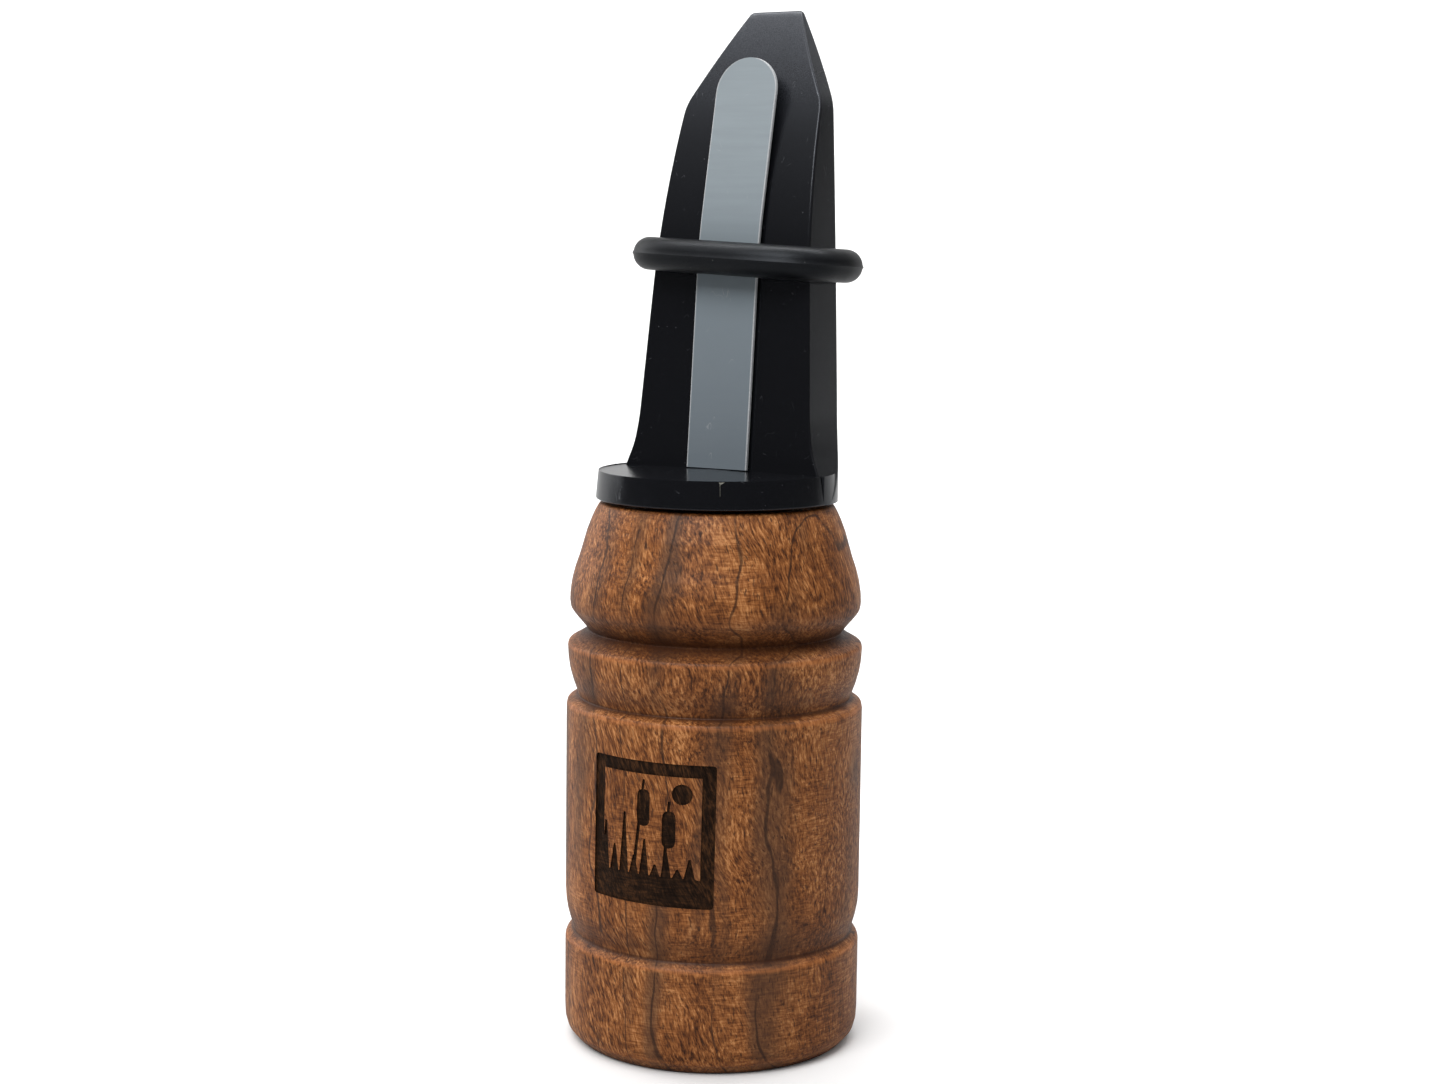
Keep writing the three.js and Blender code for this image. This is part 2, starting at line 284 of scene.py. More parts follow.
world = bpy.data.worlds.new("soft_room")
bpy.context.scene.world = world
world.use_nodes = True
room = world.node_tree
upwards = place(room, "SeparateXYZ", {0: place(room, "TexCoord").outputs["Generated"]}).outputs["Z"]
room_glow = ramp(room, upwards, [(0.0, 0.05), (0.26, 0.12), (0.45, 0.28), (0.70, 0.78), (0.92, 1.05)])
room_light = room.nodes["Background"]
room.links.new(room_glow, room_light.inputs["Color"])
seen_by_camera = place(room, "LightPath").outputs["Is Camera Ray"]
white_room = place(room, "Background", {"Color": (1, 1, 1, 1)})
room_mix = place(room, "MixShader", {0: seen_by_camera, 1: room_light.outputs[0], 2: white_room.outputs[0]})
room.links.new(room_mix.outputs[0], room.nodes["World Output"].inputs["Surface"])

# %% [markdown]
# ## Three ways to start a shape
#
# A turned piece starts as an outline and is spun round its axis, as on a lathe. A cut-out is an outline
# given a depth. A lofted piece is a grid of faces wrapped round a row of sections. All three take plain
# lists of points in millimetres, so that the numbers in the cells below can be read off a drawing.

# %% Outlines, spun and cut out
def finish_shape(piece, smooth_angle=30):
    """Closes seams, turns every face outwards and smooths all but the real corners."""
    bpy.ops.object.mode_set(mode="EDIT")
    bpy.ops.mesh.select_all(action="SELECT")
    bpy.ops.mesh.remove_doubles(threshold=0.002 * MM)
    bpy.ops.mesh.normals_make_consistent(inside=False)
    bpy.ops.object.mode_set(mode="OBJECT")
    bpy.ops.object.shade_smooth_by_angle(angle=math.radians(smooth_angle))
    return piece


def outline(name, points):
    """A closed chain of vertices, from a circle whose vertices are moved to the points."""
    deselect_all()
    bpy.ops.mesh.primitive_circle_add(vertices=len(points), radius=MM)
    piece = bpy.context.object
    piece.name = name
    for vertex, point in zip(piece.data.vertices, points):
        vertex.co = Vector(point) * MM
    return piece


def turned(name, points, segments):
    """An outline of (radius, height) points, spun about the Z axis."""
    piece = outline(name, [(radius, 0, height) for radius, height in points])
    bpy.ops.object.mode_set(mode="EDIT")
    bpy.ops.mesh.select_all(action="SELECT")
    bpy.ops.mesh.spin(steps=segments, angle=2 * math.pi, center=(0, 0, 0), axis=(0, 0, 1))
    return finish_shape(piece)


def cut_out(name, points, depth):
    """An outline of (x, y, z) points, filled and extruded by the vector depth."""
    piece = outline(name, points)
    bpy.ops.object.mode_set(mode="EDIT")
    bpy.ops.mesh.select_all(action="SELECT")
    bpy.ops.mesh.edge_face_add()
    bpy.ops.mesh.extrude_region_move(TRANSFORM_OT_translate={"value": Vector(depth) * MM})
    return finish_shape(piece)


def rounded(points, radius, steps=3):
    """Cuts each corner of a closed outline and puts a small curve there."""
    eased = []
    for index, corner in enumerate(points):
        corner = Vector(corner)
        ends = []
        for neighbour in (points[index - 1], points[(index + 1) % len(points)]):
            side = Vector(neighbour) - corner
            ends.append(corner + side.normalized() * min(radius, 0.45 * side.length))
        for step in range(steps + 1):
            t = step / steps
            eased.append(ends[0] * (1 - t) ** 2 + corner * 2 * t * (1 - t) + ends[1] * t**2)
    return eased


# %% Lofts and Booleans
def lofted(name, sections, closed_ends=True):
    """A grid wrapped round sections that all have the same number of (x, y, z) points."""
    deselect_all()
    columns, rows = len(sections[0]), len(sections) - 1
    bpy.ops.mesh.primitive_grid_add(x_subdivisions=columns, y_subdivisions=rows, size=MM)
    piece = bpy.context.object
    piece.name = name
    for row, section in enumerate(sections):
        for column in range(columns + 1):
            vertex = piece.data.vertices[row * (columns + 1) + column]
            vertex.co = Vector(section[column % columns]) * MM
    if closed_ends:
        bpy.ops.object.mode_set(mode="EDIT")
        bpy.ops.mesh.select_all(action="SELECT")
        bpy.ops.mesh.remove_doubles(threshold=0.002 * MM)
        bpy.ops.mesh.fill_holes(sides=0)
    return finish_shape(piece)


def combine(piece, other, operation):
    """Joins, cuts or trims one piece with another, which is then removed."""
    deselect_all()
    bpy.context.view_layer.objects.active = piece
    piece.select_set(True)
    boolean = piece.modifiers.new(operation.lower(), "BOOLEAN")
    boolean.operation = operation
    boolean.solver = "EXACT"
    boolean.object = other
    bpy.ops.object.modifier_apply(modifier=boolean.name)
    bpy.data.objects.remove(other)


def weigh_normals(piece):
    """Lets the large faces set the shading at their edges, which keeps flats flat and lips crisp."""
    deselect_all()
    bpy.context.view_layer.objects.active = piece
    weighted = piece.modifiers.new("weighted", "WEIGHTED_NORMAL")
    weighted.keep_sharp = True
    bpy.ops.object.modifier_apply(modifier=weighted.name)


def copied(piece):
    """A copy with its own mesh."""
    copy = piece.copy()
    copy.data = piece.data.copy()
    bpy.context.scene.collection.objects.link(copy)
    return copy


def describe(piece):
    size = [round(side / MM, 1) for side in piece.dimensions]
    print(f"{piece.name}: {len(piece.data.polygons)} faces, {size} mm")


# %% [markdown]
# ## The barrel
#
# The barrel is turned from one block of figured hardwood: a foot band, a long band, a narrow bead and a
# domed bead, with a groove between each. The lanyard hangs in the deepest groove. Inside there are a
# socket for the mouthpiece, a bore, and a bell that opens at the foot. A lathe does all of this at once,
# so the outline below is the whole piece, listed in the order that a turning tool would travel.

# %% Barrel outline
BARREL_SEGMENTS = 160
BARREL_TOP = 57.2
BARREL_RADIUS = 15.63
LIP_RADIUS = 0.18

foot_band = [(14.0, 0), (14.4, 0.2), (15.3, 1.2), (15.58, 2.2), (15.64, 3.4), (15.65, 10.7), (15.5, 11.15)]
low_cove = [(14.82, 11.75), (14.9, 12.15), (15.14, 12.9), (15.38, 13.8), (15.54, 14.7), (15.63, 15.9)]
long_band = [(15.64, 25), (15.63, 35.7), (15.5, 36.25)]
narrow_bead = [(14.36, 36.75), (14.5, 37.2), (14.93, 38.4), (15.26, 39.6), (15.45, 40.8), (15.52, 42.1)]
lanyard_groove = [(15.4, 42.5), (14.5, 43.0), (13.35, 43.75), (14.1, 44.7), (14.8, 45.5)]
domed_bead = [(15.2, 46.1), (15.31, 46.8), (15.27, 47.8), (15.07, 49.1), (14.74, 50.35), (14.31, 51.6)]
neck = [(13.93, 52.9), (13.56, 54.2), (13.1, 55.4), (12.75, 56.2), (12.3, 57.0), (11.9, BARREL_TOP)]
socket = [(8.3, BARREL_TOP), (8.0, 56.9), (8.0, 31.4), (7.6, 31.1)]
bore = [(6.7, 30.3), (6.6, 29.8), (6.6, 15)]
bell = [(6.85, 11.5), (7.4, 8), (8.3, 4.4), (9.4, 1.6), (10.3, 0.15), (10.9, 0)]

outside = foot_band + low_cove + long_band + narrow_bead + lanyard_groove + domed_bead + neck
inside = socket + bore + bell
barrel = turned("turned_barrel", rounded(outside + inside, LIP_RADIUS), BARREL_SEGMENTS)
describe(barrel)

# %% [markdown]
# A small picture is burnt into the long band, a little to the right of the reed: cattails and marsh grass
# in an upright frame, with a sun. The burner takes away a thin layer, so the picture is cut into the
# mesh, with a floor that follows the barrel's curve. It is drawn flat first, then trimmed by a thin
# sleeve round the barrel, and what is left is taken out of the wood.

# %% The picture, drawn flat
MARK_HALF_WIDTH = 6.75
MARK_HALF_HEIGHT = 7.35
MARK_LINE = 1.3
MARK_HEIGHT = 25.0
MARK_AZIMUTH = math.radians(5.5)
MARK_TILT = math.radians(0.8)
MARK_DEPTH = 0.16
DRAWING_Y = -18
DRAWING_DEPTH = (0, 12, 0)


def drawn(points):
    """A flat shape of (x, z) points from the picture's middle, as a cut-out that reaches the wood."""
    return cut_out("drawn_shape", [(x, DRAWING_Y, z + MARK_HEIGHT) for x, z in points], DRAWING_DEPTH)


def box_points(half_width, half_height):
    corners = ((-1, -1), (1, -1), (1, 1), (-1, 1))
    return [(side * half_width, end * half_height) for side, end in corners]


picture = drawn(rounded(box_points(MARK_HALF_WIDTH, MARK_HALF_HEIGHT), 0.4))
opening = drawn(box_points(MARK_HALF_WIDTH - MARK_LINE, MARK_HALF_HEIGHT - MARK_LINE))
combine(picture, opening, "DIFFERENCE")

GRASS_SPACING = 1.2
GRASS_ROOT_Z = -4.3
blade_tops = [0.6, -1.6, 1.9, -2.4, -0.6, -3.1, -1.7, -3.4, -2.3]
grass = [(-6, -7.2), (6, -7.2), (6, -4.6)]
for index in reversed(range(len(blade_tops))):
    tip_x = -5.2 + GRASS_SPACING * index
    for offset, tip_z in ((0.55, GRASS_ROOT_Z), (0.1, blade_tops[index])):
        grass.append((tip_x + offset, tip_z))
    for offset, tip_z in ((-0.1, blade_tops[index]), (-0.55, GRASS_ROOT_Z)):
        grass.append((tip_x + offset, tip_z))
combine(picture, drawn(grass + [(-6, -4.6)]), "UNION")

for root_x, head_x, head_z in ((-1.7, -0.6, 2.6), (1.7, 2.2, 0.6)):
    stem = [(root_x - 0.2, -5), (root_x + 0.2, -5)]
    stem += [(head_x + 0.14, head_z + 2.9), (head_x - 0.14, head_z + 2.9)]
    combine(picture, drawn(stem), "UNION")
    head = [(head_x + x, head_z + z) for x, z in box_points(0.72, 1.9)]
    combine(picture, drawn(rounded(head, 0.8)), "UNION")

SUN_RADIUS = 1.05
sun_turns = [step / 32 * math.tau for step in range(32)]
sun = [(3.5 + SUN_RADIUS * math.cos(turn), 4.3 + SUN_RADIUS * math.sin(turn)) for turn in sun_turns]
combine(picture, drawn(sun), "UNION")
describe(picture)

# %% The picture, cut into the wood
mark_middle = Matrix.Translation((0, 0, MARK_HEIGHT * MM))
tilted = mark_middle @ Matrix.Rotation(MARK_TILT, 4, "Y") @ mark_middle.inverted()
picture.data.transform(Matrix.Rotation(MARK_AZIMUTH, 4, "Z") @ tilted)
floor_radius = BARREL_RADIUS - MARK_DEPTH
sleeve_outline = [(floor_radius, 15), (17, 15), (17, 36), (floor_radius, 36)]
sleeve = turned("mark_sleeve", sleeve_outline, BARREL_SEGMENTS)
combine(picture, sleeve, "INTERSECT")
for _ in ("unburnt", "burnt"):
    picture.data.materials.append(None)
    barrel.data.materials.append(None)
for face in picture.data.polygons:
    face.material_index = 1
combine(barrel, picture, "DIFFERENCE")
finish_shape(barrel, 35)
weigh_normals(barrel)
burnt_faces = [face for face in barrel.data.polygons if face.material_index == 1]
print("burnt faces:", len(burnt_faces))
describe(barrel)

# %% [markdown]
# ## The mouthpiece
#
# The mouthpiece is one moulding: a hollow tenon with two seal grooves that plugs into the barrel, a round
# flange, and a board that stands up behind a flat ledge. The tenon and flange are round, so they are
# turned. The board isn't: its front is flat and curves back to the tip, its sides are flat, and its back
# is round. It is lofted through many level sections, so that its edges can be eased evenly all the way
# up, which a bevel on a Boolean's edges can't do.

# %% Tenon and flange
MOUTHPIECE_SEGMENTS = 128
SEAT = 57.5
LEDGE = 60.6
BORE = 4.4
TENON = 7.7
GROOVE = 6.0
SEAL_ROOM = 1.1
EASED_EDGE = 0.22
SEAL_HEIGHTS = {"rubber_seal_upper": 52.0, "rubber_seal_lower": 39.5}

tenon_outline = [(BORE, 34.1), (4.9, 33.5), (6.9, 33.5), (TENON, 34.3)]
for height in sorted(SEAL_HEIGHTS.values()):
    low, high = height - SEAL_ROOM, height + SEAL_ROOM
    tenon_outline += [(TENON, low), (GROOVE, low), (GROOVE, high), (TENON, high)]
flange_outline = [(TENON, SEAT), (12.7, SEAT), (12.42, LEDGE)]
axis_outline = [(0, LEDGE), (0, LEDGE - 1.4), (BORE, LEDGE - 1.4)]
mouthpiece_outline = rounded(tenon_outline + flange_outline, EASED_EDGE)
mouthpiece_outline += [Vector(point) for point in axis_outline]
mouthpiece = turned("moulded_mouthpiece", mouthpiece_outline, MOUTHPIECE_SEGMENTS)
describe(mouthpiece)

# %% [markdown]
# The board's sections need three curves: how wide the board is at each height, how far back its face
# lies, and the radius of its back. The width has three straight runs with eased corners. The face leans
# back 4.8 degrees, runs straight to 22 mm, and then follows a Bezier curve to the tip.

# %% The board's curves
FACE_SET_BACK = 0.15
FACE_LEAN = math.tan(math.radians(4.8))
FACE_BEND = 22
TIP = 51.4


def along(points, height):
    """The value at a height, on a line through (height, value) points."""
    for (low, first), (high, second) in zip(points, points[1:]):
        if height <= high:
            share = (height - low) / (high - low)
            return first + (second - first) * max(share, 0)
    return points[-1][1]


def eased_line(points, radius):
    """Rounds the inner corners of an open line of points."""
    return [points[0], *[tuple(p) for p in rounded(points, radius, 5)[6:-6]], points[-1]]


def bezier(p0, p1, p2, p3, t):
    return p0 * (1 - t) ** 3 + 3 * p1 * t * (1 - t) ** 2 + 3 * p2 * t**2 * (1 - t) + p3 * t**3


width_points = [(0.3, 12.66), (3.4, 11.62), (5.6, 10.75), (8.4, 10.3), (41.5, 8.2), (TIP, 3.0)]
width_curve = eased_line(width_points, 1.0)
face_curve = [(0, FACE_SET_BACK), (FACE_BEND, FACE_SET_BACK + FACE_LEAN * FACE_BEND)]
for step in range(1, 33):
    face_height = bezier(FACE_BEND, 32, TIP - 7.7, TIP, step / 32)
    face_back = bezier(face_curve[1][1], FACE_SET_BACK + FACE_LEAN * 32, 6.4, 11.3, step / 32)
    face_curve.append((face_height, face_back))
print("face at the ring:", round(along(face_curve, 25.2), 2), "mm behind the axis")

# %% The board
BACK_ARC_STEPS = 36
EDGE_RADIUS = 0.3


def board_section(height, inset=0.0):
    """One level section of the board, rounded at its four corners."""
    half_width = along(width_curve, height) - inset
    face = along(face_curve, height) + inset
    back = 12.7 - 0.4 * height / TIP - inset
    turn = math.acos(half_width / back)
    middle = min(2.6, 0.8 * half_width)
    corners = [(-half_width, face), (-middle, face), (middle, face), (half_width, face)]
    corners.append((half_width, back * math.sin(turn)))
    for step in range(1, BACK_ARC_STEPS):
        angle = turn + (math.pi - 2 * turn) * step / BACK_ARC_STEPS
        corners.append((back * math.cos(angle), back * math.sin(angle)))
    corners.append((-half_width, back * math.sin(turn)))
    level = BARREL_TOP + height
    return [(x, y, level) for x, y in rounded(corners, EDGE_RADIUS)]


heights = [0.3 + 0.45 * step for step in range(113)]
sections = [board_section(height) for height in heights if height < TIP - 0.3]
sections += [board_section(TIP - 0.25), board_section(TIP - 0.1, 0.06), board_section(TIP, 0.2)]
board = lofted("board", sections)
describe(board)
combine(mouthpiece, board, "UNION")
describe(mouthpiece)

# %% [markdown]
# The breath goes down a slot in the board's face, behind the reed, and into the tenon's bore. The slot
# ramps out to the surface below the reed's free end. Two small moulding marks are left on the real one,
# and they make it look moulded and not cut: a thin flash line on the flange's rim, and a short ridge
# across the rim on each side where the two halves of the mould met.

# %% Air slot
SLOT_WIDTH = 4.4
slot = [
    (FACE_BEND + 14, FACE_SET_BACK + FACE_LEAN * 36), (FACE_BEND, 6.2), (1.5, 4.35),
    (1.5, FACE_SET_BACK), (3.7, FACE_SET_BACK), (3.7, -4.4), (FACE_BEND + 14, -4.4),
]
slot_points = [(-SLOT_WIDTH / 2, depth, BARREL_TOP + height) for height, depth in slot]
slot_cutter = cut_out("slot", slot_points, (SLOT_WIDTH, 0, 0))
combine(mouthpiece, slot_cutter, "DIFFERENCE")

# %% Flash and parting ridges
FLASH_AZIMUTH = math.radians(31.6)


def flash_line(angle, radius, low, high, thickness):
    """A thin upright ridge of flash, sunk into the rim so that only its edge stands out."""
    root, edge = radius - 0.4, radius + 0.06
    ridge = outline("flash", [(root, -thickness, low), (edge, 0, low + 0.1), (root, thickness, low)])
    bpy.ops.object.mode_set(mode="EDIT")
    bpy.ops.mesh.select_all(action="SELECT")
    bpy.ops.mesh.edge_face_add()
    bpy.ops.mesh.extrude_region_move(TRANSFORM_OT_translate={"value": (0, 0, (high - low) * MM)})
    finish_shape(ridge)
    ridge.data.transform(Matrix.Rotation(angle, 4, "Z"))
    return ridge


combine(mouthpiece, flash_line(FLASH_AZIMUTH - math.pi / 2, 12.6, 58.9, 60.1, 0.10), "UNION")
for side_angle in (0, math.pi):
    combine(mouthpiece, flash_line(side_angle, 12.62, 57.7, 60.4, 0.12), "UNION")
finish_shape(mouthpiece, 32)
weigh_normals(mouthpiece)
for _ in ("moulding", "flash"):
    mouthpiece.data.materials.append(None)
flash_direction = Vector((math.sin(FLASH_AZIMUTH), -math.cos(FLASH_AZIMUTH), 0))
for face in mouthpiece.data.polygons:
    middle = face.center / MM
    beside = abs(middle.cross(flash_direction).z)
    on_rim = middle.dot(flash_direction) > 12.0 and 58 < middle.z < 60.3
    face.material_index = int(on_rim and beside < 0.13 and face.area < 0.4 * MM ** 2)
describe(mouthpiece)

# %% [markdown]
# ## The reed
#
# The reed is a strip cut from clear grey plastic sheet 0.4 mm thick, with one round end. It lies flat on
# the face up to the ring and then stands off the face as it curves away, which is the gap that lets it
# buzz. It is lofted as cross-sections along its length, closer together at the round tip. A narrow border
# is kept as separate faces, which get a painted highlight for the light that leaks out of the strip's cut
# edge.

# %% Reed strip
REED_HALF_WIDTH = 3.6
REED_THICKNESS = 0.4
REED_GAP = 0.3
REED_FOOT = 3.45
REED_BEND = 25.2
REED_BEND_LENGTH = 4
REED_TIP = 46.2
REED_LIFT = math.tan(math.radians(12))
REED_BORDER = 0.13
STRAIGHT_STEPS = 52
ROUND_STEPS = 23


def reed_back(height):
    """How far the reed's back lies behind the axis, straight below the ring and lifting above it."""
    lying = FACE_SET_BACK + FACE_LEAN * min(height, REED_BEND) - REED_GAP
    above = max(height - REED_BEND, 0)
    if above < REED_BEND_LENGTH:
        ease = above / REED_BEND_LENGTH
        share = ease - 0.5 * ease * ease
    else:
        share = 1 - REED_BEND_LENGTH / 2 / above
    return lying + above * (FACE_LEAN + (REED_LIFT - FACE_LEAN) * share)


def reed_section(height, half_width):
    back = reed_back(height)
    front = back - REED_THICKNESS
    level = BARREL_TOP + height
    border = max(half_width - REED_BORDER, 0.0)
    chamfer = 0.05
    columns = [
        (-half_width, back - chamfer), (-half_width, front + chamfer), (-half_width + chamfer, front),
        (-border, front), (border, front), (half_width - chamfer, front),
        (half_width, front + chamfer), (half_width, back - chamfer), (half_width - chamfer, back),
        (border, back), (-border, back), (-half_width + chamfer, back),
    ]
    return [(x, y, level) for x, y in columns]


round_start = REED_TIP - REED_HALF_WIDTH
straight_start = REED_FOOT + REED_BORDER
reed_sections = [reed_section(REED_FOOT, REED_HALF_WIDTH), reed_section(straight_start, REED_HALF_WIDTH)]
for step in range(1, STRAIGHT_STEPS + 1):
    height = straight_start + (round_start - straight_start) * step / STRAIGHT_STEPS
    reed_sections.append(reed_section(height, REED_HALF_WIDTH))
for step in range(1, ROUND_STEPS + 1):
    turn = math.radians(88 * step / ROUND_STEPS)
    height = round_start + REED_HALF_WIDTH * math.sin(turn)
    reed_sections.append(reed_section(height, REED_HALF_WIDTH * math.cos(turn)))
reed = lofted("reed_strip", reed_sections)
finish_shape(reed, 50)
for _ in ("clear", "cut_edge"):
    reed.data.materials.append(None)
for face in reed.data.polygons:
    middle = face.center / MM
    height = middle.z - BARREL_TOP
    half_width = REED_HALF_WIDTH
    if height > round_start:
        half_width = math.sqrt(max(REED_HALF_WIDTH**2 - (height - round_start) ** 2, 0))
    if half_width - abs(middle.x) < 0.85 * REED_BORDER or height < REED_FOOT + 0.5 * REED_BORDER:
        face.material_index = 1
describe(reed)

# %% [markdown]
# ## The tuning ring
#
# The ring is a plain rubber O-ring, 3.5 mm thick, stretched round the board. It can't lie flat against a
# square corner, so it pulls straight over the reed, turns hard round the two front edges and bows gently
# round the back. It sits a little askew, lower on the right. A fine line runs round its outside where its
# own mould closed. The path is drawn level, the section is carried along it, and the tilt comes last.

# %% Ring path
RING_HEIGHT = BARREL_TOP + REED_BEND
RING_SECTION = 1.75
RING_TILT = math.radians(-3.0)

half_path = [
    (0, -0.42), (1.6, -0.42), (3.2, -0.38), (4.8, -0.22), (6.6, 0.12), (8.2, 0.7),
    (9.5, 1.62), (10.25, 2.9), (10.62, 4.6), (10.72, 6.4), (10.3, 8.6), (9.1, 10.4),
    (7.2, 12.2), (4.9, 13.35), (2.5, 13.95), (0, 14.15),
]
ring_points = half_path + [(-x, y) for x, y in reversed(half_path[1:-1])]


def smooth_loop(points, steps):
    """A Catmull-Rom curve through a closed loop of points."""
    loop = []
    count = len(points)
    for index in range(count):
        p0, p1, p2, p3 = (Vector(points[(index + shift) % count]) for shift in (-1, 0, 1, 2))
        for step in range(steps):
            t = step / steps
            curve = 2 * p1 + (p2 - p0) * t
            curve += (2 * p0 - 5 * p1 + 4 * p2 - p3) * t**2
            curve += (3 * p1 - p0 - 3 * p2 + p3) * t**3
            loop.append(0.5 * curve)
    return loop


ring_path = smooth_loop(ring_points, 6)
print("ring path:", len(ring_path), "points")

# %% Ring
RING_AROUND = 48
PARTING_RIDGE = 0.11


def ring_section(index):
    """The round section at one point of the path, as (x, y, z) points that start on its outside."""
    here = ring_path[index]
    forward = (ring_path[(index + 1) % len(ring_path)] - ring_path[index - 1]).normalized()
    outward = Vector((forward.y, -forward.x))
    points = []
    for step in range(RING_AROUND):
        turn = math.tau * step / RING_AROUND
        radius = RING_SECTION + (PARTING_RIDGE if step == 0 else 0)
        reach = here + outward * radius * math.cos(turn)
        points.append((reach.x, reach.y, RING_HEIGHT + radius * math.sin(turn)))
    return points


ring_sections = [ring_section(index % len(ring_path)) for index in range(len(ring_path) + 1)]
ring = lofted("rubber_tuning_ring", ring_sections, closed_ends=False)
tilt_axis = Vector((math.sin(CAMERA_AZIMUTH), -math.cos(CAMERA_AZIMUTH), 0))
ring_middle = Vector((0, 5 * MM, RING_HEIGHT * MM))
to_ring, from_middle = Matrix.Translation(ring_middle), Matrix.Translation(-ring_middle)
ring.data.transform(to_ring @ Matrix.Rotation(RING_TILT, 4, tilt_axis) @ from_middle)
finish_shape(ring, 60)
describe(ring)

# %% [markdown]
# Where the rubber meets the board and the reed it is pressed flat. Cutting the ring with a copy of each
# gives exactly that contact at rest. The ring is rigid, so it sinks into the wider board lower down.

# %% Press the ring on to the board
for pressing in (mouthpiece, reed):
    combine(ring, copied(pressing), "DIFFERENCE")
finish_shape(ring, 60)
describe(ring)

# %% [markdown]
# ## The tenon seals
#
# Two small O-rings sit in the tenon's grooves and make the joint with the barrel airtight. They show only
# when the mouthpiece is pulled out. One is modelled, and the other is a copy with its own mesh.

# %% Seals
SEAL_RADIUS = 7.1
SEAL_SECTION = 0.8
SEAL_RIDGE = 0.05
SEAL_AROUND = 20

upper_height, lower_height = SEAL_HEIGHTS.values()
seal_section = []
for step in range(SEAL_AROUND):
    turn = math.tau * step / SEAL_AROUND
    radius = SEAL_SECTION + (SEAL_RIDGE if step == 0 else 0)
    seal_section.append((SEAL_RADIUS + radius * math.cos(turn), upper_height + radius * math.sin(turn)))
upper_seal = turned("seal", seal_section, 96)
lower_seal = copied(upper_seal)
lower_seal.data.transform(Matrix.Translation((0, 0, (lower_height - upper_height) * MM)))
seals = [upper_seal, lower_seal]
for seal, name in zip(seals, SEAL_HEIGHTS):
    seal.name = name
    describe(seal)

# %% [markdown]
# ## The wood
#
# The barrel is a figured hardwood with a satin oil finish. Seen close, its colour comes from several
# layers at different sizes: fine fibres, short slanting flecks, ripples across the grain, dark pores,
# cloudy mineral streaks and a few thin dark growth lines. Fibres, flecks and pores are noise stretched
# along the grain, and the ripples are noise stretched across it. All are worked out from the wood's own
# coordinates, as in a solid block, so the turned grooves cut through the figure as they do on a lathe.
# The burnt picture shows the same grain, so the layers are a node group that both finishes use.

# %% Wood figure group
figure_group, figure_in, figure_out = new_group(
    "wood_figure",
    {"Slant": ("Float", 0.32), "Fleck Length": ("Float", 0.34)},
    {"Tone": "Float", "Streaks": "Float", "Lines": "Float", "Pores": "Float", "Relief": "Float"},
)
WANDER = 3.5
block = place_in_millimetres(figure_group)
wander = place(figure_group, "TexNoise", {"Vector": block, "Scale": 0.09, "Detail": 2.0}).outputs["Color"]
wander = place(figure_group, "VectorMath", {0: wander, 1: (0.5, 0.5, 0.5)}, operation="SUBTRACT").outputs[0]
wander = place(figure_group, "VectorMath", {0: wander, "Scale": WANDER}, operation="SCALE").outputs[0]
grain_place = place(figure_group, "VectorMath", {0: block, 1: wander}, operation="ADD").outputs[0]
axes = place(figure_group, "SeparateXYZ", {0: grain_place}).outputs
slant = math_node(figure_group, "MULTIPLY", axes["Z"], figure_in["Slant"])
slanted_x = math_node(figure_group, "ADD", axes["X"], slant)
slanted = {"X": slanted_x, "Y": axes["Y"], "Z": axes["Z"]}
fleck_z = math_node(figure_group, "MULTIPLY", axes["Z"], figure_in["Fleck Length"])
fibre_place = place(figure_group, "CombineXYZ", slanted).outputs[0]
fleck_place = place(figure_group, "CombineXYZ", {**slanted, "Z": fleck_z}).outputs[0]
print("places in the block: grain, fibres and flecks")

# %% Tone: flecks, fibres, ripples and clouds
flecks = centred(figure_group, noise(figure_group, fleck_place, (3.4, 3.4, 2.4), 4.0, 0.66))
fibres = noise(figure_group, fibre_place, (8.0, 8.0, 0.8), 2.0, 0.6)
ripples = centred(figure_group, noise(figure_group, block, (0.6, 0.6, 4.6), 3.0, 0.6, 0.5))
clouds = centred(figure_group, noise(figure_group, grain_place, (0.24, 0.24, 0.09), 4.0, 0.6))
ripple_area = between(figure_group, noise(figure_group, block, (0.11, 0.11, 0.07)), 0.44, 0.6)
fleck_share = math_node(figure_group, "SUBTRACT", 1.95, ripple_area)
layers = [
    scaled(figure_group, flecks, fleck_share),
    scaled(figure_group, centred(figure_group, fibres), 0.55),
    scaled(figure_group, ripples, ripple_area),
    scaled(figure_group, clouds, 0.8),
]
tone = layers[0]
for layer in layers[1:]:
    tone = math_node(figure_group, "ADD", tone, layer)
tone = math_node(figure_group, "ADD", tone, 0.5, clamp=True)
print("layers of tone:", len(layers))

# %% [markdown]
# A growth line is the place where a slow, drifting count of the years passes a half. Streaks are wide soft
# bands on the same lines, so that dark mineral stains follow the growth. Both fade in and out by area.

# %% Growth lines, streaks and pores
drift = noise(figure_group, grain_place, (0.13, 0.13, 0.035), 3.0, 0.42)
growth = math_node(figure_group, "ADD", scaled(figure_group, axes["X"], 0.13), drift)
line_phase = math_node(figure_group, "FRACT", scaled(figure_group, growth, 1.6))
line_distance = math_node(figure_group, "ABSOLUTE", centred(figure_group, line_phase))
line_area = between(figure_group, noise(figure_group, block, (0.25, 0.25, 0.10)), 0.34, 0.50)
lines = scaled(figure_group, between(figure_group, line_distance, 0.034, 0.010), line_area)
streak_area = between(figure_group, noise(figure_group, grain_place, (0.12, 0.12, 0.03)), 0.46, 0.62)
streaks = scaled(figure_group, between(figure_group, line_distance, 0.42, 0.05), streak_area)
pores = between(figure_group, noise(figure_group, fibre_place, (5.0, 5.0, 1.1), 1.0), 0.62, 0.70)
